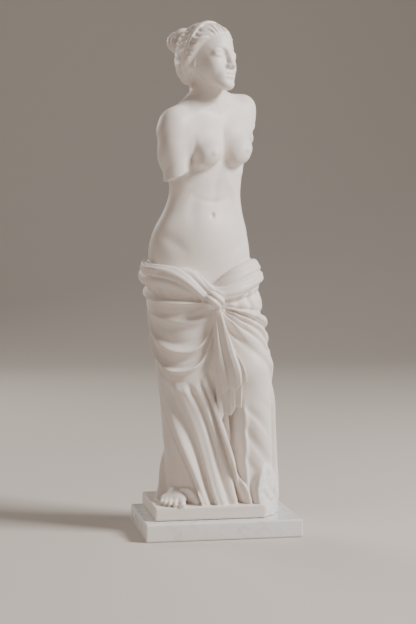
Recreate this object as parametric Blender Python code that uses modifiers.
"""Statue of a half-draped goddess in cast white marble, on a polished marble slab.

The figure and the step under it are one casting, and the slab is a piece of its own.
The casting is carved as a distance field: every form is a function that gives each point of
space its distance from that form's surface, less than zero inside, and the forms are blended
into one. The surface where the whole field is zero becomes the mesh.

The carving is drawn in units of a figure FIGURE_UNITS high. Its axes are the statue's own:
+x to the viewer's right, -y to the front, +z up, with z = 0 on top of the step.
"""

import bpy
import numpy as np
from mathutils import Matrix

# Sizes in metres
FIGURE_HEIGHT = 0.2815  # from the top of the step to the crown of the head
STEP_WIDTH = 0.0700
STEP_DEPTH = 0.0550
STEP_HEIGHT = 0.0077
STEP_EDGE = 0.0008  # rounding of the step's edges
SLAB_MARGIN_LEFT = 0.0065  # how far the slab shows past the step on each side
SLAB_MARGIN_RIGHT = 0.0155
SLAB_MARGIN_FRONT = 0.0075
SLAB_MARGIN_BACK = 0.0035
SLAB_HEIGHT = 0.0105
SLAB_EDGE = 0.0012  # rounding of the slab's edges
BEDDING_GAP = 0.0003  # between the casting and the slab
FIGURE_OFFSET_X = 0.0045  # of the figure's own axis from the middle of the step
FIGURE_OFFSET_Y = -0.0020

# How finely the casting is cut
FIGURE_UNITS = 281.5
CELL = 1.2  # side of the grid's cells, in the figure's units
KEPT_SHARE = 0.080  # of the mesh's triangles after the flat places are thinned

SLAB_WIDTH = SLAB_MARGIN_LEFT + STEP_WIDTH + SLAB_MARGIN_RIGHT
SLAB_DEPTH = SLAB_MARGIN_FRONT + STEP_DEPTH + SLAB_MARGIN_BACK
STEP_X = (SLAB_MARGIN_LEFT - SLAB_MARGIN_RIGHT) / 2
STEP_Y = (SLAB_MARGIN_FRONT - SLAB_MARGIN_BACK) / 2
STEP_BOTTOM = SLAB_HEIGHT + BEDDING_GAP
STEP_TOP = STEP_BOTTOM + STEP_HEIGHT
UNIT = FIGURE_HEIGHT / FIGURE_UNITS

# The stance: shift, lean, turn and slope of the body by height
STANCE_HEIGHTS = (100, 125, 148, 179, 206, 230, 250)
STANCE_SHIFT = (-7.4, -8.4, -9.2, -6.2, -3.6, -2.4, -2.0)
STANCE_LEAN = (1.5, 1.5, 1.0, 0.5, 1.5, 4.0, 4.0)
TURN_HEIGHTS = (120, 150, 180, 210, 240)
TURN_DEGREES = (2, 8, 18, 30, 31)
SLOPE_HEIGHTS = (120, 148, 179, 206, 232)
SLOPE = (-0.07, -0.06, 0.02, 0.12, 0.20)

# The body's sections by height
BODY_HEIGHTS = (112, 124, 136, 148, 160, 170, 179, 190, 200, 210, 220, 228, 235, 242)
BODY_HALF_WIDTH = (
    29.5, 29.8, 29.8, 30.4, 28.2, 24.6, 22.6, 22.8, 23.6, 24.4, 24.6, 22.0, 13.5, 8.2
)
BODY_FRONT = (
    17.5, 18.0, 17.8, 16.8, 15.2, 13.6, 12.6, 13.0, 13.4, 13.2, 11.4, 8.8, 6.8, 6.5
)
BODY_BACK = (
    21.0, 21.5, 20.0, 17.0, 14.0, 12.4, 12.0, 13.0, 14.4, 15.2, 14.8, 12.8, 9.6, 8.6
)
BODY_SQUARENESS = 2.25

# The head, turned and scaled as a whole, and the face's sections by height
HEAD_CENTRE = (-3.4, 0.5, 259.1)
HEAD_SCALE = 1.2
HEAD_YAW = 40.0
HEAD_PITCH = -6.0
HEAD_ROLL = -3.0
FACE_HEIGHTS = (-17.2, -15.9, -14, -11.6, -9, -6, -2, 2, 5.5, 8.5, 11, 14)
FACE_HALF_WIDTH = (1.0, 3.1, 5.0, 6.8, 8.2, 9.2, 10, 10.2, 10.1, 9.6, 8.4, 6.0)
FACE_FRONT = (
    10.0, 12.0, 12.7, 12.1, 12.3, 12.2, 12.0, 12.3, 12.7, 12.3, 11.0, 8.0
)
FACE_MIDDLE = (-9.5, -9.0, -8.0, -5.6, -3.0, -1.0, 1.0, 1.5, 1.5, 1.5, 1.5, 1.5)
FACE_BACK = (1.0, 1.8, 3.4, 4.0, 4.2, 5.0, 8.0, 12.0, 12.0, 12.0, 11.0, 8.0)
EYE = (4.8, -8.9, 0.4)
EYE_HALF_WIDTH = 2.7
UPPER_LID_RISE = 1.35
LOWER_LID_DROP = 0.85
HAIR_KNOT_CENTRE = (0.0, 16.8, 9.8)
HAIR_LOCKS = 22

# The cloth
CLOTH_HEIGHTS = (-8, 0, 30, 60, 100, 126, 140, 150)
CLOTH_HALF_WIDTH = (32.0, 32.0, 31.4, 31.0, 30.6, 29.2, 28.4, 27.4)
CLOTH_HALF_DEPTH = (21.5, 21.5, 19.2, 17.5, 18.5, 20.5, 20.0, 18.5)
CLOTH_AXIS_HEIGHTS = (0, 60, 101, 130, 150)
CLOTH_AXIS_X = (3.2, 0.6, -5.2, -8.4, -8.0)
CLOTH_AXIS_Y = (1.8, 0.5, 0.5, 1.5, 1.2)
KNOT_ANGLE = 9.0  # degrees round from the front, towards the viewer's right
KNOT_HEIGHT = 117.0
ROLL_HEIGHT = 134.0
HIP_ANGLE = -112.0  # where the swags are caught up, round on the standing hip
HIP_HEIGHT = 131.0
CLOTH_THICKNESS = 1.2
PER_DEGREE = 31.0 * np.pi / 180  # length round the cloth of one degree

# The bare foot
FOOT_HEEL = (-22.0, 4.5, 0.0)
FOOT_YAW = -13.0
TOE_TIPS = (
    (4.6, -28.0), (0.9, -28.2), (-2.3, -26.8), (-5.0, -24.8), (-7.3, -22.2)
)
TOE_RADII = (2.5, 2.0, 1.9, 1.8, 1.6)

# The hem's arch over the foot, the broken foot's lump and the broken corner of the step
ARCH_CENTRE, ARCH_RADII = (-26.0, -26.5, -2.0), (13.0, 15.5, 15.5)
LUMP_CENTRE, LUMP_RADII = (26.0, -15.0, 4.0), (8.8, 11.5, 19.0)
CORNER_SIZE = 5.0


FAR = 50.0


# Shaping tools


def smooth_min(a, b, width):
    """Join of two forms, rounded where they meet over the given width."""
    share = np.maximum(width - np.abs(a - b), 0.0) / width
    return np.minimum(a, b) - share * share * (width * 0.25)


def smooth_max(a, b, width):
    """What two forms have in common, rounded like a join."""
    return -smooth_min(-a, -b, width)


def rise(t):
    """Smooth step from 0 at t = 0 to 1 at t = 1."""
    t = np.clip(t, 0.0, 1.0)
    return t * t * (3.0 - 2.0 * t)


def hump(distance, width):
    """Bell curve, 1 in the middle."""
    return np.exp(-((distance / width) ** 2))


def ripple(u):
    """0 in a sharp valley at each whole u, 1 on a round crest between them."""
    return np.abs(np.sin(np.pi * u)) ** 0.75


def pleat(u, seed=0.0, lean=0.10):
    """Row of cloth folds: narrow crests of uneven height between wide valleys at whole u."""
    height = 0.72 + 0.28 * np.sin(np.floor(u) * 2.4 + seed * 1.7)
    skewed = u + lean * np.sin(2 * np.pi * u)
    return height * (0.5 - 0.5 * np.cos(2 * np.pi * skewed)) ** 1.5


def keyed(z, keys, values):
    """Smooth curve through the values at the keys, flat past both ends."""
    keys = np.asarray(keys, float)
    values = np.asarray(values, float)
    slopes = np.gradient(values, keys)
    z = np.clip(z, keys[0], keys[-1])
    i = np.clip(np.searchsorted(keys, z, side="right") - 1, 0, len(keys) - 2)
    span = keys[i + 1] - keys[i]
    t = (z - keys[i]) / span
    square, cube = t * t, t * t * t
    start = (2 * cube - 3 * square + 1) * values[i] + (cube - 2 * square + t) * span * slopes[i]
    end = (3 * square - 2 * cube) * values[i + 1] + (cube - square) * span * slopes[i + 1]
    return start + end


def ellipsoid(p, centre, radii):
    """Distance from an ellipsoid, near enough for blending."""
    q = [(a - c) / r for a, c, r in zip(p, centre, radii)]
    level = np.sqrt(sum(a * a for a in q))
    steepness = np.sqrt(sum((a / r) ** 2 for a, r in zip(q, radii)))
    return level * (level - 1.0) / np.maximum(steepness, 1e-6)


def taper(p, start, end, start_radius, end_radius):
    """Distance from a round-ended limb from start to end."""
    start = np.asarray(start, float)
    along = np.asarray(end, float) - start
    t = np.clip(sum((p[i] - start[i]) * along[i] for i in range(3)) / (along @ along), 0.0, 1.0)
    distance = np.sqrt(sum((p[i] - start[i] - t * along[i]) ** 2 for i in range(3)))
    return distance - (start_radius + (end_radius - start_radius) * t)


def block(p, low, high, edge):
    """Distance from an upright box with rounded edges."""
    q = [np.maximum(a - h, l - a) + edge for a, l, h in zip(p, low, high)]
    outside = np.sqrt(sum(np.maximum(a, 0.0) ** 2 for a in q))
    return outside + np.minimum(np.maximum(np.maximum(q[0], q[1]), q[2]), 0.0) - edge


def turned(p, centre, yaw=0.0, pitch=0.0, roll=0.0):
    """The points as seen from a frame at centre, turned by the angles in degrees."""
    x, y, z = (a - c for a, c in zip(p, centre))
    c, s = np.cos(np.radians(yaw)), np.sin(np.radians(yaw))
    x, y = c * x + s * y, c * y - s * x
    c, s = np.cos(np.radians(pitch)), np.sin(np.radians(pitch))
    y, z = c * y + s * z, c * z - s * y
    c, s = np.cos(np.radians(roll)), np.sin(np.radians(roll))
    return c * x + s * z, y, c * z - s * x


def mirrored(p):
    """The points folded onto the +x side, so that one form stands for a pair."""
    return np.abs(p[0]), p[1], p[2]


def broken_stone(p, size):
    """Unevenness of a broken face: warped sine waves of unlike lengths and directions."""
    x, y, z = p
    u = x + 1.7 * np.sin(0.61 * y + 0.43 * z + 0.3)
    v = y + 1.5 * np.sin(0.53 * z - 0.47 * x + 1.1)
    w = z + 1.6 * np.sin(0.57 * x + 0.39 * y + 2.0)
    coarse = np.sin(0.62 * u + 0.31 * w) * np.sin(0.55 * v - 0.48 * w + 0.7)
    middle = np.sin(1.27 * w + 0.83 * u + 0.4) * np.sin(1.41 * v + 0.66 * w + 1.9)
    return size * (coarse + 0.5 * middle)


# The body


def upright(p):
    """The points moved to a body that stands straight and square to the front."""
    x, y, z = p
    x = x - keyed(z, STANCE_HEIGHTS, STANCE_SHIFT)
    y = y - keyed(z, STANCE_HEIGHTS, STANCE_LEAN)
    turn = np.radians(keyed(z, TURN_HEIGHTS, TURN_DEGREES))
    c, s = np.cos(turn), np.sin(turn)
    x, y = c * x + s * y, c * y - s * x
    return x, y, z - keyed(z, SLOPE_HEIGHTS, SLOPE) * x


def trunk(q):
    """Superellipse sections by height, from the hips to the neck."""
    x, y, z = q
    half = keyed(z, BODY_HEIGHTS, BODY_HALF_WIDTH)
    reach = np.where(
        y < 0, keyed(z, BODY_HEIGHTS, BODY_FRONT), keyed(z, BODY_HEIGHTS, BODY_BACK)
    )
    n = BODY_SQUARENESS
    u, v = np.abs(x) / half, np.abs(y) / reach
    level = (u**n + v**n + 1e-9) ** (1 / n)
    steepness = np.hypot(u / half, v / reach) / np.maximum(np.hypot(u, v), 1e-6)
    return smooth_max((level - 1.0) / np.maximum(steepness, 1e-6), z - 243.0, 6.0)


def muscle_relief(q):
    """Hollows and ridges of the breastbone, ribs, belly, groin, spine and loins."""
    x, y, z = q
    side = np.abs(x)
    front = rise((-y - 2) / 6)
    behind = rise((y - 2) / 6)
    depth = -0.50 * hump(x, 2.4) * front * rise((z - 170) / 12) * rise((222 - z) / 10)
    depth -= 0.6 * hump(x, 3.0) * front * hump(z - 214, 9)
    arch = 190.0 - 0.055 * side**2
    depth += 0.30 * hump(z - arch - 1.5, 3.8) * front * rise((side - 2) / 5) * rise((20 - side) / 6)
    depth -= 0.30 * hump(z - arch + 5.5, 5.5) * front * rise((16 - side) / 6)
    depth -= 0.5 * hump(side - 12.0 - 0.1 * (z - 170), 3.4) * front * hump(z - 172, 13)
    depth -= 0.45 * hump(z - 139.0 - 0.62 * side, 3.6) * front * rise((side - 9) / 8)
    depth -= 0.5 * hump(z - 176 - 0.02 * side**2, 1.6) * front * hump(x, 11)
    depth += 0.35 * hump(side - 19, 3.5) * np.sin((z - 190) * 0.9) * hump(z - 196, 8) * front
    collar = z - 231.0 - 0.10 * side - 0.8 * np.sin(side * 0.28)
    collar = hump(collar, 1.5) - 0.7 * hump(collar - 3.4, 1.9)
    depth -= -0.65 * collar * front * rise((side - 2.5) / 3) * rise((22 - side) / 6)
    depth -= 1.5 * hump(x, 2.3) * behind * rise((z - 150) / 14) * rise((236 - z) / 14)
    depth -= 0.8 * hump(side - 6.5, 2.2) * hump(z - 153, 3) * behind
    depth += 0.6 * hump(side - 4.8, 3.0) * behind * hump(z - 172, 18)
    depth -= 0.5 * hump(z - 203 + 0.9 * (side - 14), 3.0) * behind * hump(side - 15, 7)
    return depth


def torso(q):
    """Trunk with shoulders, chest, shoulder blades, seat, belly, collar bones and navel."""
    pair = mirrored(q)
    form = trunk(q)
    form = smooth_min(form, taper(pair, (3, 6, 238), (25.5, 3.5, 229.0), 5.6, 5.2), 9.0)
    form = smooth_min(form, ellipsoid(pair, (25.8, 2.2, 223.5), (8.8, 9.2, 10.5)), 6.0)
    form = smooth_min(form, ellipsoid(pair, (15, -6.5, 214), (11, 5.2, 9.5)), 7.0)
    form = smooth_min(form, ellipsoid(pair, (16, 11, 213), (10, 5.5, 13)), 7.0)
    form = smooth_min(form, ellipsoid(pair, (17, 4, 203), (7.5, 9.5, 13)), 7.0)
    form = smooth_min(form, ellipsoid(pair, (11.0, -12.9, 204.4), (9.0, 8.9, 8.6)), 3.2)
    form = smooth_min(form, ellipsoid(pair, (10.8, -8.6, 211.0), (8.0, 6.6, 9.0)), 6.0)
    form = smooth_min(form, ellipsoid(pair, (12.0, -21.3, 205.0), (1.3, 1.0, 1.3)), 1.2)
    form = smooth_max(form, -ellipsoid(pair, (0, -9.2, 233.2), (2.6, 2.2, 2.8)), 2.5)
    form = smooth_min(form, ellipsoid(pair, (12.5, 8.5, 128), (14.5, 14.5, 16)), 6.0)
    form = smooth_min(form, ellipsoid(pair, (0, -6.5, 154), (15.5, 10.8, 15.5)), 8.0)
    form = form - muscle_relief(q)
    return smooth_max(form, -ellipsoid(q, (0.0, -15.9, 168.2), (1.2, 2.2, 1.6)), 1.1)


def standing_side_arm(p, q):
    """The arm on the viewer's left, broken off square half way to the elbow."""
    arm = taper(q, (-26.8, 2.5, 221.0), (-23.0, -9.0, 182.0), 8.2, 7.2)
    arm = smooth_min(arm, ellipsoid(q, (-27.4, -0.6, 210.0), (7.9, 8.6, 13.0)), 4.0)
    return smooth_max(arm, lost_arm(p), 0.5)


def lost_arm(p):
    """Field of what is lost below the arm's break, square to the arm."""
    q = upright(p)
    level = (q[2] - 192.0) - 0.42 * (q[0] + 24) + 0.22 * (q[1] + 7)
    return -level - broken_stone(p, 0.75)


def lost_shoulder(p):
    """Field of what is lost beyond the other shoulder, less than zero where stone is left."""
    q = upright(p)
    return -ellipsoid(q, (40.4, -1.5, 205.0), (12.5, 16.0, 19.5)) - broken_stone(p, 0.7)


def body(p):
    """Field of the whole body, with the other arm broken off at the shoulder."""
    q = upright(p)
    stump = taper(q, (26.0, 2.5, 222.0), (32.5, -1.0, 210.0), 8.0, 7.0)
    stump = smooth_min(ellipsoid(q, (27.0, 2.0, 225.0), (8.4, 9.0, 9.4)), stump, 3.0)
    form = smooth_max(smooth_min(torso(q), stump, 2.0), lost_shoulder(p), 0.5)
    form = smooth_min(form, standing_side_arm(p, q), 3.0)
    crease = hump(q[0] + 19.5 + 0.12 * (q[2] - 205), 1.1) * rise((-q[1] - 3) / 4)
    return form + 0.8 * crease * hump(q[2] - 204, 9)


# The head


def face_oval(pair):
    """The smooth oval of forehead, cheeks, jaw and chin, as sections by height."""
    side, y, z = pair
    half = keyed(z, FACE_HEIGHTS, FACE_HALF_WIDTH)
    middle = keyed(z, FACE_HEIGHTS, FACE_MIDDLE)
    ahead = keyed(z, FACE_HEIGHTS, FACE_FRONT) + middle
    depth = y - middle
    reach = np.where(depth < 0, ahead, keyed(z, FACE_HEIGHTS, FACE_BACK))
    u, v = side / half, np.abs(depth) / reach
    level = (u**2.2 + v**2.2 + 1e-9) ** (1 / 2.2)
    steepness = np.hypot(u / half, v / reach) / np.maximum(np.hypot(u, v), 1e-6)
    form = (level - 1.0) / np.maximum(steepness, 1e-6)
    form = smooth_max(smooth_max(form, z - 13.5, 4.0), -(z + 16.5), 2.5)
    return smooth_min(form, ellipsoid(pair, (0, -10.9, -14.1), (2.9, 2.3, 2.1)), 2.6)


def nose(pair):
    """Straight bridge, tip and wings."""
    form = taper(pair, (0.0, -11.3, 4.4), (0.0, -14.2, -4.2), 1.2, 1.3)
    form = smooth_min(form, ellipsoid(pair, (0, -14.6, -5.0), (1.6, 1.5, 1.3)), 1.2)
    return smooth_min(form, ellipsoid(pair, (1.75, -13.4, -5.6), (0.95, 1.5, 1.0)), 0.9)


def mouth(form, pair):
    """The form with full lips added, and the lines between and below them cut."""
    side, y, z = pair
    front = rise((-y - 10.5) / 1.5)
    form = smooth_min(form, ellipsoid(pair, (0, -10.7, -9.6), (4.6, 2.0, 3.3)), 2.5)
    upper = taper(pair, (0.7, -12.75, -8.85), (3.1, -11.6, -9.45), 0.80, 0.25)
    lower = taper(pair, (0.0, -12.6, -10.55), (2.4, -11.8, -10.1), 1.0, 0.45)
    form = smooth_min(smooth_min(form, upper, 1.0), lower, 0.9)
    line = z + 9.66 - 0.16 * hump(side, 0.9) - 0.03 * side
    form = form + 0.5 * hump(line, 0.28) * rise(3.8 - side) * front
    form = form + 0.28 * hump(side, 0.6) * hump(z + 7.5, 0.9) * front
    return form + 0.35 * hump(side, 2.8) * hump(z + 12.3, 0.8) * front


def eyes(form, pair):
    """The form with soft hollows, eyeballs, and almond lids with a fold above them."""
    a, up, down = EYE_HALF_WIDTH, UPPER_LID_RISE, LOWER_LID_DROP
    form = smooth_max(form, -ellipsoid(pair, (5.0, -13.9, 0.7), (4.3, 3.2, 2.8)), 1.5)
    form = smooth_max(form, -ellipsoid(pair, (2.7, -13.3, 1.0), (0.9, 1.7, 1.7)), 1.2)
    across = pair[0] - EYE[0]
    level = pair[2] - EYE[2] + 0.08 * across
    up_radius, down_radius = (a * a + up * up) / (2 * up), (a * a + down * down) / (2 * down)
    above = np.hypot(across, level + up_radius - up) - up_radius
    below = np.hypot(across, level - down_radius + down) - down_radius
    opening = smooth_max(above, below, 0.15)
    ball = ellipsoid(pair, EYE, (2.9, 2.85, 2.85))
    lid = ellipsoid(pair, EYE, (3.45, 3.35, 3.35))
    lid = smooth_max(lid, -opening, 0.15)
    lid = lid + 0.35 * hump(above - 0.95, 0.28) * rise(level)
    return smooth_min(smooth_min(form, ball, 0.15), lid, 0.5)


def ear(pair):
    """Ear with its rim and hollow."""
    form = ellipsoid(pair, (10.4, 1.8, -2.2), (1.5, 2.3, 3.7))
    form = smooth_max(form, -ellipsoid(pair, (11.9, 1.2, -1.5), (1.1, 1.4, 2.4)), 0.5)
    return smooth_min(form, ellipsoid(pair, (10.1, 0.6, -5.2), (1.0, 1.2, 1.3)), 0.8)


def face(q):
    """Field of the bare head."""
    pair = mirrored(q)
    form = smooth_min(face_oval(pair), ellipsoid(pair, (0, 3.2, 4.6), (11.0, 13.5, 12.0)), 3.0)
    form = smooth_min(form, ellipsoid(pair, (5.2, -7.3, -4.6), (3.5, 3.8, 4.4)), 3.8)
    form = smooth_min(eyes(form, pair), nose(pair), 1.9)
    form = smooth_max(form, -ellipsoid(pair, (0.85, -14.0, -6.6), (0.5, 0.9, 0.5)), 0.4)
    return smooth_min(mouth(form, pair), ear(pair), 0.6)


def hair(q):
    """Field of the hair: waved locks swept back from the face to the knot.

    A lock is a slice of the turn round the line from knot to face, so its phase is the angle
    about that line, with a sine of the distance along it added, which waves the lock.
    """
    x, y, z = q
    side = np.abs(x)
    pair = (side, y, z)
    mass = ellipsoid(pair, (0, 2.2, 4.4), (12.8, 15.6, 14.0))
    mass = smooth_min(mass, ellipsoid(pair, (9.0, -3.0, 2.8), (3.9, 6.4, 5.8)), 4.0)
    mass = smooth_min(mass, ellipsoid(pair, (9.6, 4.0, -1.8), (3.3, 5.4, 4.6)), 4.0)
    mass = smooth_min(mass, ellipsoid(pair, (0, 11.0, -3.5), (8.8, 6.2, 7.6)), 5.0)
    hairline = 0.78 * (y + 9.6) + 0.62 * (z - 8.6) - 0.016 * side**2 - 0.5 * hump(side, 2.5)
    axis = HAIR_KNOT_CENTRE[2] - 0.24 * (HAIR_KNOT_CENTRE[1] - y)
    turn = np.arctan2(x, z - axis) * HAIR_LOCKS / (2 * np.pi)
    bend = 0.34 * np.sin(y * 0.66 + 0.9 * np.sin(turn * 1.3)) * rise((14 - y) / 8)
    phase = turn + np.sign(x) * bend * rise(side / 2.5)
    tall = 0.85 + 0.15 * np.sin(np.floor(phase) * 2.1 + 0.6)
    form = mass - 1.0 * (tall * ripple(phase) - 0.55)
    form = form + 1.1 * hump(x, 0.8) * rise((z - 9) / 4) * rise((6 - y) / 4)
    form = smooth_max(form, -hairline, 1.2)
    form = smooth_max(form, -(z + 10.0 + 0.35 * (y - 8)), 2.0)
    form = smooth_min(form, hair_band(mass, pair, hairline), 0.25)
    return smooth_min(form, hair_knot(q), 0.7)


def hair_band(mass, pair, hairline):
    """Flat ribbon over the crown and down behind the ears."""
    place = pair[1] + 1.5 + 0.40 * (pair[2] - 15.0)
    form = smooth_max(mass - 0.80, np.abs(place) - 1.35, 0.4)
    return smooth_max(form, 2.0 - hairline, 0.5)


def hair_knot(q):
    """Knot of hair: a rope of locks coiled into a ring, with a round end in the middle.

    Strands run round the ring's tube three times while they go five times round the ring.
    """
    k = turned(q, HAIR_KNOT_CENTRE, pitch=-38)
    radius = np.hypot(k[0], k[2])
    around = np.arctan2(k[0], k[2]) / (2 * np.pi)
    ring = radius - 4.6
    tube = np.arctan2(k[1], ring) / (2 * np.pi)
    strands = 0.7 * (ripple(3 * tube + 5 * around) - 0.5)
    form = np.hypot(ring, k[1] * 0.85) - 3.0 - strands
    coil = 0.6 * (ripple(3 * around + 0.28 * radius) - 0.5)
    form = smooth_min(form, ellipsoid(k, (0, 1.6, 0), (2.9, 2.6, 2.9)) - coil, 0.4)
    form = smooth_min(form, ellipsoid(k, (0, -3.5, 0), (6.6, 5.5, 6.6)), 0.8)
    strand = 0.5 * (ripple(q[0] / 1.5 + 0.15 * np.sin(q[2] * 0.7)) - 0.4)
    tail = taper(q, (2.0, 17.0, 2.0), (1.0, 12.0, -12.5), 2.4, 1.1) - strand
    return smooth_min(form, tail, 0.8)


def neck(p):
    """Neck with its two long muscles, which meet at the notch above the breastbone."""
    form = taper(p, (-2.2, 6.5, 226), (-1.2, 3.2, 252), 9.3, 8.0)
    form = smooth_min(form, taper(p, (-3.4, -1.6, 231), (6.5, 3.5, 253), 1.2, 2.0), 5.0)
    form = smooth_min(form, taper(p, (1.0, -1.2, 232), (-9.0, 2.5, 252), 1.2, 2.0), 5.0)
    lines = hump(p[2] - 243.0 - 0.16 * (p[0] + 2), 0.6) + hump(p[2] - 238.5 - 0.12 * p[0], 0.6)
    return form + 0.18 * lines * rise((-p[1] + 1) / 4)


def head(p):
    """Field of face and hair, turned towards the viewer's right."""
    q = turned(p, HEAD_CENTRE, HEAD_YAW, HEAD_PITCH, HEAD_ROLL)
    q = (q[0] / HEAD_SCALE, q[1] / HEAD_SCALE, q[2] / HEAD_SCALE)
    return smooth_min(face(q), hair(q), 0.3) * HEAD_SCALE


# The cloth round the legs


def round_the_cloth(p):
    """Degrees round the cloth's axis: 0 in front, positive to the viewer's right."""
    x = p[0] - keyed(p[2], CLOTH_AXIS_HEIGHTS, CLOTH_AXIS_X)
    y = p[1] - keyed(p[2], CLOTH_AXIS_HEIGHTS, CLOTH_AXIS_Y)
    return np.degrees(np.arctan2(x, -y))


def cloth_base(p):
    """Legs and seat with a column of cloth round them, before the folds."""
    x, y, z = p
    half = keyed(z, CLOTH_HEIGHTS, CLOTH_HALF_WIDTH)
    deep = keyed(z, CLOTH_HEIGHTS, CLOTH_HALF_DEPTH)
    u = (x - keyed(z, CLOTH_AXIS_HEIGHTS, CLOTH_AXIS_X)) / half
    v = (y - keyed(z, CLOTH_AXIS_HEIGHTS, CLOTH_AXIS_Y)) / deep
    level = np.hypot(u, v)
    column = level * (level - 1) / np.maximum(np.hypot(u / half, v / deep), 1e-6)
    straight = smooth_min(
        taper(p, (-20.5, 0, 128), (-17, -5, 74), 16.6, 13.3),
        taper(p, (-17, -5, 74), (-14.5, 1, 14), 13.3, 10.5),
        3.0,
    )
    bent = smooth_min(
        taper(p, (5, 0, 127), (15, -13.0, 79), 18.0, 13.6),
        taper(p, (15, -13.0, 79), (24, -4.0, 12), 13.6, 11.0),
        3.0,
    )
    seat = smooth_min(
        ellipsoid(p, (-20, 9, 122), (15, 14, 18)), ellipsoid(p, (2, 9, 120), (15, 14, 18)), 6.0
    )
    form = smooth_min(smooth_min(column, straight, 7.0), bent, 7.0)
    return smooth_min(form, seat, 8.0)


def swags(angle, z):
    """Curved folds over the standing thigh, hung between that hip and the knot.

    Each fold is a line of constant drop below the chord from hip to knot, where the drop is
    counted in steps that grow with the sag 4t(1-t).
    """
    t = np.clip((angle - HIP_ANGLE) / (KNOT_ANGLE - HIP_ANGLE), 0.0, 1.0)
    sag = (4 * t * (1 - t)) ** 0.9
    top = HIP_HEIGHT + (KNOT_HEIGHT + 3 - HIP_HEIGHT) * t
    drop = (top - z) / (10.0 * sag + 3.6)
    here = rise(drop / 0.5) * rise((4.8 - drop) / 1.4)
    here = here * rise((angle - HIP_ANGLE) / 16) * rise((KNOT_ANGLE - angle) / 9)
    phase = drop + 0.16 * np.sin(2.3 * drop + angle * 0.035)
    height = pleat(phase, 1.0, -0.13) + 0.12 * pleat(2.7 * phase + angle * 0.02, 2.0)
    return 4.6 * here * (height - 0.25) * (0.12 + 0.88 * sag), here


def knot_fan(angle, z):
    """Folds that fan out from the knot over the bent thigh and fade on the smooth knee."""
    across, down = (angle - KNOT_ANGLE) * PER_DEGREE, z - KNOT_HEIGHT
    turn = np.degrees(np.arctan2(across, -down))
    radius = np.hypot(across, down)
    here = rise((turn - 10) / 8) * rise((112 - turn) / 16)
    here = here * rise((radius - 5) / 8) * rise((78 - radius) / 46)
    knee = hump((angle - 36) * PER_DEGREE, 10) * hump(z - 82, 20)
    phase = (turn - 14) / 14.0 + 0.3 * np.sin(turn * 0.09 + radius * 0.03)
    return 3.6 * here * (1 - 0.9 * knee) * (pleat(phase, 3.0, 0.12) - 0.25) * rise(turn / 30)


def swept_folds(angle, z, swag_place):
    """Long folds swept from the standing hip down and across to the other foot."""
    sweep = 62.0 * np.clip(1 - z / 98.0, 0, 1) ** 1.25
    phase = (angle - sweep + 96) / 18.5
    phase = phase + 0.22 * np.sin(1.7 * phase + z * 0.02)
    here = rise((angle - sweep + 112) / 14) * rise((10 - angle + 0.42 * sweep) / 12)
    here = here * rise((96 - z - 30 * swag_place) / 34)
    height = pleat(phase, 4.0, 0.13) + 0.10 * pleat(2.6 * phase, 5.0)
    strength = 0.85 + 0.25 * np.sin(np.floor(phase) * 2.2 + z * 0.06)
    return 5.0 * here * (strength * height - 0.28)


def shin_fold(angle, z):
    """One deep fold down the inner side of the bent shin, and the ridge beside it."""
    line = 17.0 - 0.10 * (z - 40)
    groove = -4.2 * hump((angle - line) * PER_DEGREE, 2.8) * rise((96 - z) / 24)
    return groove + 2.2 * hump((angle - line - 9) * PER_DEGREE, 2.4) * rise((74 - z) / 30)


def shin_pulls(angle, z):
    """Shallow folds drawn slantwise from the knee across the shin."""
    phase = (z - 62 + 0.55 * (angle - 38)) / 13.0 + 0.2 * np.sin(z * 0.09)
    here = hump((angle - 40) * PER_DEGREE, 9) * rise((66 - z) / 14) * rise((z - 8) / 18)
    return 1.2 * here * (pleat(phase, 8.0) - 0.3)


def side_falls(angle, z):
    """Straight folds that hang from the hip on the outer side."""
    phase = (angle - 62 - 0.16 * (90 - z)) / 15.0 + 0.35 * np.sin(z * 0.045 + angle * 0.05)
    here = rise((angle - 56) / 9) * rise((126 - angle) / 12) * rise((112 - z) / 30)
    strength = 0.75 + 0.25 * np.sin(np.floor(phase) * 2.6 + z * 0.05)
    return 4.0 * here * (strength * pleat(phase, 6.0, 0.12) - 0.3)


def back_falls(angle, z):
    """Long falls down the back, drawn together towards the standing hip."""
    behind = np.where(angle < 0, angle + 360, angle)
    sweep = 62.0 * np.clip(1 - z / 98.0, 0, 1) ** 1.25
    swept = behind - 0.75 * sweep * rise((behind - 215) / 45)
    phase = (swept - 180 + 0.30 * (z - 60) + 8 * np.sin(z * 0.031 + behind * 0.012)) / 20.0
    phase = phase + 0.38 * np.sin(1.3 * phase + z * 0.012)
    here = rise((behind - 116) / 14) * rise((254 + sweep - behind) / 14) * rise((134 - z) / 30)
    strength = 0.7 + 0.3 * np.sin(np.floor(phase) * 2.1 + z * 0.035)
    height = strength * pleat(phase, 7.0, 0.12) + 0.12 * pleat(2.4 * phase + z * 0.02, 2.0)
    return (2.6 + 2.2 * rise((90 - z) / 60)) * here * (height - 0.28)


def gathers(angle, z, swag_place):
    """Short gathers that come out from under the rolled edge and fade below it."""
    down = roll_height(angle) - z
    here = rise((down - 3) / 5) * rise((34 - down) / 22) * (1 - swag_place)
    off_knot = 1 - hump(angle - KNOT_ANGLE, 16)
    phase = angle / 9.0 + 0.6 * np.sin(np.radians(angle) * 5)
    return 1.5 * here * off_knot * (pleat(phase, 9.0) - 0.3)


def folds(angle, z):
    """Height of all the folds over the cloth's base, with the hem spread at the ground."""
    swag_height, swag_place = swags(angle, z)
    height = swag_height + knot_fan(angle, z) + swept_folds(angle, z, swag_place)
    height = height + shin_fold(angle, z) + shin_pulls(angle, z)
    height = height + side_falls(angle, z) + back_falls(angle, z)
    height = height + gathers(angle, z, swag_place)
    hem = 2.0 * rise((14 - z) / 14) ** 2
    return height + hem * (0.6 + 0.4 * np.sin(np.radians(angle) * 7))


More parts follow.
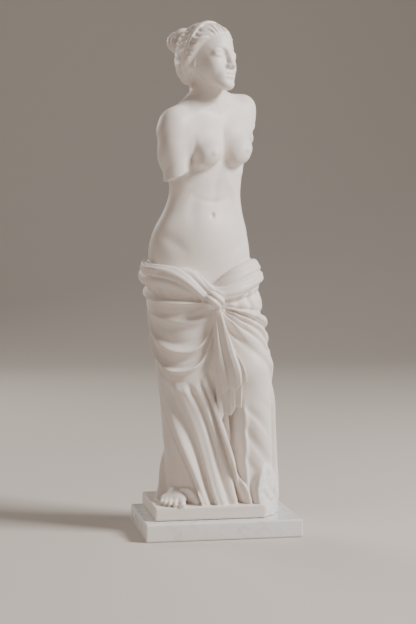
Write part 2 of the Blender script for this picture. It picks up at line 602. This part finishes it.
def roll_height(angle):
    """Height of the rolled edge round the hips, lowest at the knot."""
    off = np.radians(angle - KNOT_ANGLE)
    away = np.degrees(np.arccos(np.clip(np.cos(off), -1, 1)))
    dip = (ROLL_HEIGHT - KNOT_HEIGHT - 5.0) * np.exp(-((away / 36.0) ** 1.6))
    return ROLL_HEIGHT + 0.8 * np.cos(off + 2.4) + 2.4 * rise(np.sin(off)) - dip


def rolled_edge(p, angle, skin):
    """The upper edge, rolled and twisted into thick strands that follow the hips.

    Round the tube there are three strands, which wind on by five in one turn of the body,
    so the pattern closes on itself.
    """
    up = p[2] - roll_height(angle)
    out = skin - CLOTH_THICKNESS
    turn = np.radians(angle)
    radius = 4.2 + 0.6 * np.sin(2 * turn + 1.0) - 0.7 * hump(angle - KNOT_ANGLE, 20)
    twist = np.degrees(np.arctan2(up, out)) / 120 + angle / 72 + 0.25 * np.sin(3 * turn)
    strands = 2.0 * (ripple(twist) - 0.55)
    return np.hypot(out, up / 1.6) - radius - strands


def hanging_ends(p, angle, base):
    """The two ends, which hang from the knot in pleats and end in zigzag hems."""
    z = p[2]
    across = (angle - KNOT_ANGLE - 0.02 * (KNOT_HEIGHT - z)) * PER_DEGREE
    down = KNOT_HEIGHT - z
    ends = np.full(z.shape, FAR, z.dtype)
    for length, width, thick, lean in ((66, 8.5, 2.4, -2.0), (50, 6.5, 4.4, 1.5)):
        half = 2.2 + (width - 2.2) * rise(down / (0.8 * length))
        place = across - lean * down / length
        zigzag = 3.6 * np.abs((place / width * 2 + 0.5) % 2 - 1)
        pleats = 1.6 * (ripple(place / width + 0.25) - 0.4) * rise(down / 12)
        pleats = pleats + 0.3 * ripple(place / width * 3) * rise(down / 10)
        end = smooth_max(base - thick - pleats, np.abs(place) - half, 1.0)
        end = smooth_max(end, KNOT_HEIGHT - length + zigzag + 0.45 * place - z, 0.5)
        end = smooth_max(end, z - KNOT_HEIGHT - 2, 2.0)
        ends = np.minimum(ends, end)
    return ends


def cloth_knot(p):
    """The knot itself, a short twisted lump in front of the belly."""
    turn = np.radians(KNOT_ANGLE)
    x = CLOTH_AXIS_X[3] - 0.4 + 25.5 * np.sin(turn)
    y = CLOTH_AXIS_Y[3] - 0.3 - 25.5 * np.cos(turn)
    centre = (x, y, KNOT_HEIGHT + 2.5)
    k = turned(p, centre, yaw=KNOT_ANGLE, roll=25)
    strands = 1.3 * (ripple(k[0] / 4.2 + 0.12 * k[2]) - 0.5)
    return ellipsoid(k, (0, 0, 0), (6.4, 4.6, 5.0)) - strands


def cloth(p, skin):
    """Field of the whole wrap."""
    angle = round_the_cloth(p)
    base = cloth_base(p)
    top = p[2] - roll_height(angle) - 3.5
    form = smooth_max(base - CLOTH_THICKNESS - folds(angle, p[2]), top, 3.0)
    form = smooth_min(form, rolled_edge(p, angle, np.minimum(base, skin)), 1.2)
    form = smooth_min(form, hanging_ends(p, angle, base), 0.8)
    return smooth_min(form, cloth_knot(p), 1.0)


# The foot, the step and the whole casting


def foot(p):
    """Field of heel, instep, ball and five toes with their nails."""
    q = turned(p, FOOT_HEEL, yaw=FOOT_YAW)
    form = taper(q, (0, 2, 7.0), (0.5, -14, 4.6), 6.4, 4.8)
    form = smooth_min(form, ellipsoid(q, (-0.8, -18, 3.2), (7.8, 7.4, 4.0)), 3.0)
    for (x, y), radius in zip(TOE_TIPS, TOE_RADII):
        toe = taper(q, (x * 0.85, -18.0, 3.4), (x, y + 3.0, 2.9), radius * 0.8, radius * 0.9)
        toe = smooth_min(toe, ellipsoid(q, (x, y, 1.6), (radius, 2.7, radius * 0.95)), 0.8)
        nail = ellipsoid(q, (x, y - 1.2, 1.4 + radius), (radius * 0.6, 1.1, 0.9))
        form = smooth_min(form, smooth_max(toe, -nail, 0.2), 0.35)
    return form


def step(p):
    """The step cast with the figure."""
    side, front = STEP_WIDTH / UNIT / 2, STEP_DEPTH / UNIT / 2
    x, y = FIGURE_OFFSET_X / UNIT, FIGURE_OFFSET_Y / UNIT
    low = (-side - x, -front - y, -STEP_HEIGHT / UNIT)
    high = (side - x, front - y, 0.0)
    return block(p, low, high, min(STEP_EDGE / UNIT, 0.45 * STEP_HEIGHT / UNIT))


def foot_of_cloth(p, form):
    """The lowest part: the hem arched over the foot, the step, and the rough broken corner."""
    x, y, z = p
    arch = ellipsoid(p, ARCH_CENTRE, ARCH_RADII)
    form = smooth_max(form - 1.1 * hump(arch - 1.3, 1.1), -arch, 1.2)
    lump = ellipsoid(p, LUMP_CENTRE, LUMP_RADII)
    lost_foot = -0.86 * (y + 22.5) + 0.50 * (x - LUMP_CENTRE[0]) + 0.12 * (z - 6)
    form = smooth_min(form, smooth_max(lump, lost_foot + broken_stone(p, 0.55), 0.8), 2.0)
    form = smooth_min(form, foot(p), 0.5)
    form = smooth_min(form, step(p), 0.6)
    right = STEP_WIDTH / UNIT / 2 - FIGURE_OFFSET_X / UNIT
    front = -STEP_DEPTH / UNIT / 2 - FIGURE_OFFSET_Y / UNIT
    lost = 0.72 * (x - right) - 0.69 * (y - front - CORNER_SIZE) - 0.12 * z
    form = smooth_max(form, lost + broken_stone(p, 0.5), 0.5)
    return np.maximum(form, -STEP_HEIGHT / UNIT - z)


def casting(p):
    """The whole casting, joined zone by zone so that each form is worked out only where it is."""
    z = p[2]
    form = np.full(z.shape, FAR)

    def part_of(zone):
        return tuple(a[zone] for a in p)

    zone = z > 228
    form[zone] = head(part_of(zone))
    zone = (z > 216) & (z < 262)
    form[zone] = smooth_min(form[zone], neck(part_of(zone)), 2.0)
    skin = np.full(z.shape, FAR)
    zone = (z > 108) & (z < 252)
    skin[zone] = body(part_of(zone)) + 4.0 * rise((116 - z[zone]) / 8)
    form[zone] = smooth_min(form[zone], skin[zone], 3.0)
    zone = z < 158
    form[zone] = smooth_min(skin[zone], cloth(part_of(zone), skin[zone]), 1.6)
    zone = z < 32
    form[zone] = foot_of_cloth(part_of(zone), form[zone])
    return form


# From the field to a mesh


def sampled(field, axes, coarse_step=4):
    """The field on a grid. Cells far from the surface take the value of a coarser grid."""
    picks = [np.unique(np.r_[np.arange(0, len(a), coarse_step), len(a) - 1]) for a in axes]
    x, y, z = np.meshgrid(*(a[i] for a, i in zip(axes, picks)), indexing="ij")
    coarse = field((x.ravel(), y.ravel(), z.ravel())).reshape(x.shape)
    places = [np.searchsorted(i, np.arange(len(a)), side="right") - 1 for a, i in zip(axes, picks)]
    values = coarse[np.ix_(*places)]
    near = np.abs(coarse) < coarse_step * CELL * 2.2
    wide = np.pad(near, 1)
    grown = np.zeros_like(near)
    for i, j, k in np.ndindex(3, 3, 3):
        grown |= wide[i : i + near.shape[0], j : j + near.shape[1], k : k + near.shape[2]]
    spots = np.nonzero(grown[np.ix_(*places)])
    values[spots] = field(tuple(a[i] for a, i in zip(axes, spots)))
    return values


def without_pinches(values):
    """The samples with a corner filled in wherever the surface would touch itself along an edge.

    That happens on a square of the grid whose two diagonals differ, one inside, one outside.
    """
    unit_steps = np.eye(3, dtype=int)
    pinched = True
    while pinched:
        pinched = False
        for a, b in ((0, 1), (0, 2), (1, 2)):
            shifts = (0 * unit_steps[a], unit_steps[a], unit_steps[b], unit_steps[a] + unit_steps[b])
            spare = shifts[3]
            inside = [
                values[tuple(slice(s, n - e + s) for s, n, e in zip(shift, values.shape, spare))] < 0
                for shift in shifts
            ]
            crossed = (inside[0] == inside[3]) & (inside[1] == inside[2]) & (inside[0] != inside[1])
            for place in np.argwhere(crossed):
                corners = [tuple(place + shift) for shift in shifts]
                nearest = min((values[c], c) for c in corners if values[c] >= 0)[1]
                values[nearest] = -0.02 * CELL
                pinched = True
    return values


def surface_net(values, axes):
    """Points and four-sided faces where the sampled field crosses zero.

    Every cell that the surface passes through holds one point, the mean of the crossings on
    its edges. Every grid edge that the surface crosses makes a face of the four cells round it.
    """
    inside = values < 0
    sizes = np.array(values.shape)
    cells = tuple(sizes - 1)
    totals, counts = np.zeros((*cells, 3)), np.zeros(cells)
    crossings = []
    for axis in range(3):
        step_on = np.eye(3, dtype=int)[axis]
        start = tuple(slice(0, n - s) for n, s in zip(sizes, step_on))
        end = tuple(slice(s, n) for n, s in zip(sizes, step_on))
        place = np.array(np.nonzero(inside[start] != inside[end]))
        first = values[start][tuple(place)]
        share = first / (first - values[end][tuple(place)])
        point = np.stack([a[i] for a, i in zip(axes, place)], axis=1)
        point[:, axis] += share * (axes[axis][place[axis] + 1] - axes[axis][place[axis]])
        crossings.append((axis, place, inside[tuple(place)]))
        others = [a for a in range(3) if a != axis]
        for back_a, back_b in np.ndindex(2, 2):
            cell = place.copy()
            cell[others[0]] -= back_a
            cell[others[1]] -= back_b
            kept = (cell >= 0).all(axis=0) & (cell < np.array(cells)[:, None]).all(axis=0)
            np.add.at(totals, tuple(cell[:, kept]), point[kept])
            np.add.at(counts, tuple(cell[:, kept]), 1)
    active = counts > 0
    number = np.full(cells, -1)
    number[active] = np.arange(active.sum())
    points = totals[active] / counts[active][:, None]
    faces = []
    for axis, place, leaves in crossings:
        others = [a for a in range(3) if a != axis]
        corners = []
        for back_a, back_b in ((1, 1), (0, 1), (0, 0), (1, 0)):
            cell = place.copy()
            cell[others[0]] -= back_a
            cell[others[1]] -= back_b
            corners.append(number[tuple(cell)])
        quads = np.stack(corners, axis=1)
        flipped = leaves if axis == 1 else ~leaves
        quads[flipped] = quads[flipped][:, ::-1]
        faces.append(quads)
    return points, np.concatenate(faces)


def grid_axes():
    """Grid lines round the whole casting, in the figure's units."""
    step_side = (STEP_WIDTH / 2 + abs(FIGURE_OFFSET_X)) / UNIT
    step_front = (STEP_DEPTH / 2 + abs(FIGURE_OFFSET_Y)) / UNIT
    cloth_side = max(CLOTH_HALF_WIDTH) + max(np.abs(CLOTH_AXIS_X)) + 8.0
    cloth_front = max(CLOTH_HALF_DEPTH) + max(np.abs(CLOTH_AXIS_Y)) + 12.0
    side = max(cloth_side, step_side + 2 * CELL)
    front = max(cloth_front, step_front + 2 * CELL)
    top = HEAD_CENTRE[2] + 20.0 * HEAD_SCALE + 2 * CELL
    bottom = -STEP_HEIGHT / UNIT - 1.5 * CELL
    return (
        np.arange(-side, side + CELL, CELL),
        np.arange(-front, front + CELL, CELL),
        np.arange(bottom, top + CELL, CELL),
    )


def closed_off(values):
    """The samples with the grid's own border kept outside the form, so the mesh is closed."""
    for axis in range(3):
        ends = [slice(None)] * 3
        for ends[axis] in (0, -1):
            values[tuple(ends)] = np.maximum(values[tuple(ends)], 0.02 * CELL)
    return values


# Blender objects


def material(name, colour, roughness):
    """A plain stone finish."""
    stone = bpy.data.materials.new(name)
    stone.use_nodes = True
    shader = stone.node_tree.nodes["Principled BSDF"]
    shader.inputs["Base Color"].default_value = (*colour, 1.0)
    shader.inputs["Roughness"].default_value = roughness
    shader.inputs["Metallic"].default_value = 0.0
    return stone


def make_statue(collection):
    """The casting, with its mesh thinned where it is flat."""
    axes = grid_axes()
    values = closed_off(sampled(casting, axes))
    points, quads = surface_net(without_pinches(values), axes)
    points = np.round(points, 4) * UNIT
    points += (STEP_X + FIGURE_OFFSET_X, STEP_Y + FIGURE_OFFSET_Y, STEP_TOP)
    mesh = bpy.data.meshes.new("statue")
    mesh.from_pydata(points.tolist(), [], quads.tolist())
    mesh.shade_smooth()
    mesh.materials.append(material("cast_marble", (0.86, 0.83, 0.79), 0.45))
    statue = bpy.data.objects.new("statue", mesh)
    collection.objects.link(statue)
    thin = statue.modifiers.new("thin", "DECIMATE")
    thin.ratio = KEPT_SHARE
    thin.use_collapse_triangulate = True
    return statue


def make_slab(collection):
    """The separate marble slab, a box with rounded edges, centred under the whole."""
    bpy.ops.mesh.primitive_cube_add(size=1.0, location=(0.0, 0.0, SLAB_HEIGHT / 2))
    slab = bpy.context.object
    slab.name = "base_slab"
    slab.data.name = "base_slab"
    slab.data.transform(Matrix.Diagonal((SLAB_WIDTH, SLAB_DEPTH, SLAB_HEIGHT, 1.0)))
    slab.data.materials.append(material("slab_marble", (0.83, 0.82, 0.80), 0.28))
    edge = slab.modifiers.new("edge", "BEVEL")
    edge.width = min(SLAB_EDGE, 0.45 * SLAB_HEIGHT)
    edge.segments = 3
    for holder in slab.users_collection:
        holder.objects.unlink(slab)
    collection.objects.link(slab)
    return slab


def main():
    """Clears the scene and builds both pieces in a collection of their own."""
    for old in list(bpy.data.objects):
        bpy.data.objects.remove(old, do_unlink=True)
    collection = bpy.data.collections.new("goddess_statue")
    bpy.context.scene.collection.children.link(collection)
    make_statue(collection)
    make_slab(collection)


if __name__ == "__main__":
    main()
